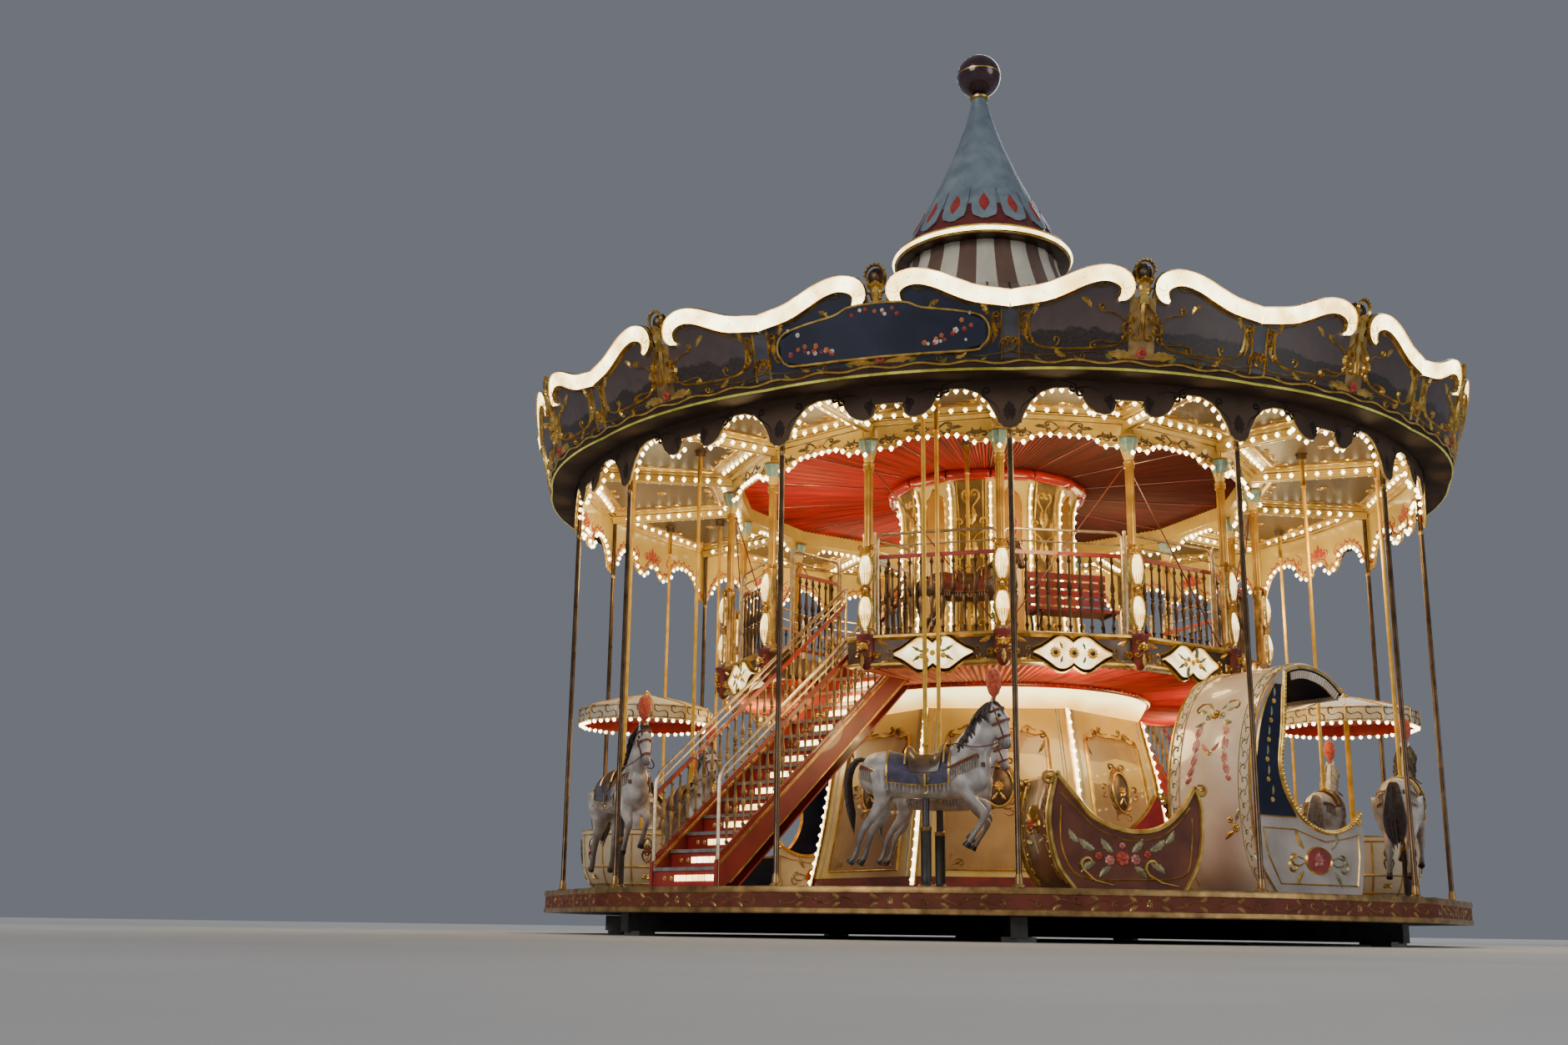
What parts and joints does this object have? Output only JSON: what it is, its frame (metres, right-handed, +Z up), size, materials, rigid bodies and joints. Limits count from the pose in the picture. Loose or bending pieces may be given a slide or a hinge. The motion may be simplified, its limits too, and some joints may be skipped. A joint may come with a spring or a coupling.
{
  "type": "two deck fairground carousel",
  "caption": "Two deck fairground carousel: turning platform with horses, cups and chariots, stairs to a railed gallery, scalloped rounding boards and a tent roof with a conical crown.",
  "frame": {"origin": "on the ground, on the turning axis", "axes": "+Z up along the turning axis; -Y through a seam between two modules, the side the picture shows"},
  "size_m": [12.2266, 12.0136, 12.3],
  "materials": {
    "steel": "dark painted steel",
    "boards": "dark varnished boards",
    "cream": "cream paint, satin",
    "gold": "gilded carving",
    "red": "red paint",
    "canvas": "striped canvas",
    "bronze": "bronze paint",
    "horse": "painted dapple grey",
    "brown_horse": "painted bay",
    "crown": "blue grey paint",
    "ball": "dark gloss"
  },
  "bodies": {
    "base": {"ground_frame": "steel"},
    "turntable": {"lower_deck": "boards", "lower_drum": "cream", "drum_cornice": "gold", "soffit_lining": "red", "upper_deck": "boards", "fascia_right": "gold", "fascia_left": "gold", "ring_beam": "cream", "upper_core": "cream", "canopy_ceiling": "cream", "board_beam": "gold", "rounding_boards": "gold", "outer_valance": "cream", "canopy_roof": "canvas", "striped_neck": "canvas", "crown_cone": "crown", "finial_ball": "ball", "railing_right": "bronze", "railing_left": "bronze", "column_00": "gold", "column_01": "gold", "column_02": "gold", "column_03": "gold", "column_04": "gold", "column_05": "gold", "column_06": "gold", "column_07": "gold", "column_08": "gold", "column_09": "gold", "column_10": "gold", "column_11": "gold", "column_12": "gold", "column_13": "gold", "stair_1": "red", "stair_2": "red", "chariot_1": "cream", "sleigh_1": "red", "bench_1": "red", "chariot_2": "cream", "sleigh_2": "red", "bench_2": "red"},
    "horse_outer_13": {"horse_outer_13": "horse"},
    "horse_inner_13": {"horse_inner_13": "horse"},
    "horse_outer_02": {"horse_outer_02": "horse"},
    "horse_inner_02": {"horse_inner_02": "horse"},
    "horse_outer_04": {"horse_outer_04": "horse"},
    "horse_inner_04": {"horse_inner_04": "horse"},
    "horse_outer_06": {"horse_outer_06": "horse"},
    "horse_inner_06": {"horse_inner_06": "horse"},
    "horse_outer_09": {"horse_outer_09": "horse"},
    "horse_inner_09": {"horse_inner_09": "horse"},
    "horse_outer_11": {"horse_outer_11": "horse"},
    "horse_inner_11": {"horse_inner_11": "horse"},
    "horse_upper_1": {"horse_upper_1": "brown_horse"},
    "horse_upper_2": {"horse_upper_2": "brown_horse"},
    "cup_1": {"cup_1": "cream", "cup_1_canopy": "cream"},
    "cup_2": {"cup_2": "cream", "cup_2_canopy": "cream"}
  },
  "joints": [
    {"name": "turntable_spin", "type": "hinge", "parent": "base", "child": "turntable", "pos_m": [0, 0, 0.5], "axis": [0, 0, 1], "continuous": true},
    {"name": "horse_outer_13_lift", "type": "slide", "parent": "turntable", "child": "horse_outer_13", "axis": [0, 0, 1], "range_m": [-0.15, 0.15]},
    {"name": "horse_inner_13_lift", "type": "slide", "parent": "turntable", "child": "horse_inner_13", "axis": [0, 0, 1], "range_m": [-0.15, 0.15]},
    {"name": "horse_outer_02_lift", "type": "slide", "parent": "turntable", "child": "horse_outer_02", "axis": [0, 0, 1], "range_m": [-0.15, 0.15]},
    {"name": "horse_inner_02_lift", "type": "slide", "parent": "turntable", "child": "horse_inner_02", "axis": [0, 0, 1], "range_m": [-0.15, 0.15]},
    {"name": "horse_outer_04_lift", "type": "slide", "parent": "turntable", "child": "horse_outer_04", "axis": [0, 0, 1], "range_m": [-0.15, 0.15]},
    {"name": "horse_inner_04_lift", "type": "slide", "parent": "turntable", "child": "horse_inner_04", "axis": [0, 0, 1], "range_m": [-0.15, 0.15]},
    {"name": "horse_outer_06_lift", "type": "slide", "parent": "turntable", "child": "horse_outer_06", "axis": [0, 0, 1], "range_m": [-0.15, 0.15]},
    {"name": "horse_inner_06_lift", "type": "slide", "parent": "turntable", "child": "horse_inner_06", "axis": [0, 0, 1], "range_m": [-0.15, 0.15]},
    {"name": "horse_outer_09_lift", "type": "slide", "parent": "turntable", "child": "horse_outer_09", "axis": [0, 0, 1], "range_m": [-0.15, 0.15]},
    {"name": "horse_inner_09_lift", "type": "slide", "parent": "turntable", "child": "horse_inner_09", "axis": [0, 0, 1], "range_m": [-0.15, 0.15]},
    {"name": "horse_outer_11_lift", "type": "slide", "parent": "turntable", "child": "horse_outer_11", "axis": [0, 0, 1], "range_m": [-0.15, 0.15]},
    {"name": "horse_inner_11_lift", "type": "slide", "parent": "turntable", "child": "horse_inner_11", "axis": [0, 0, 1], "range_m": [-0.15, 0.15]},
    {"name": "horse_upper_1_lift", "type": "slide", "parent": "turntable", "child": "horse_upper_1", "axis": [0, 0, 1], "range_m": [-0.08, 0.08]},
    {"name": "horse_upper_2_lift", "type": "slide", "parent": "turntable", "child": "horse_upper_2", "axis": [0, 0, 1], "range_m": [-0.08, 0.08]},
    {"name": "cup_1_spin", "type": "hinge", "parent": "turntable", "child": "cup_1", "pos_m": [4.5, 0, 0.6], "axis": [0, 0, 1], "continuous": true},
    {"name": "cup_2_spin", "type": "hinge", "parent": "turntable", "child": "cup_2", "pos_m": [-4.5, 0, 0.6], "axis": [0, 0, 1], "continuous": true}
  ],
  "couplings": [
    {"joint": "horse_inner_13_lift", "follows": "horse_outer_13_lift", "ratio": -1},
    {"joint": "horse_inner_02_lift", "follows": "horse_outer_02_lift", "ratio": -1},
    {"joint": "horse_inner_04_lift", "follows": "horse_outer_04_lift", "ratio": -1},
    {"joint": "horse_inner_06_lift", "follows": "horse_outer_06_lift", "ratio": -1},
    {"joint": "horse_inner_09_lift", "follows": "horse_outer_09_lift", "ratio": -1},
    {"joint": "horse_inner_11_lift", "follows": "horse_outer_11_lift", "ratio": -1}
  ]
}
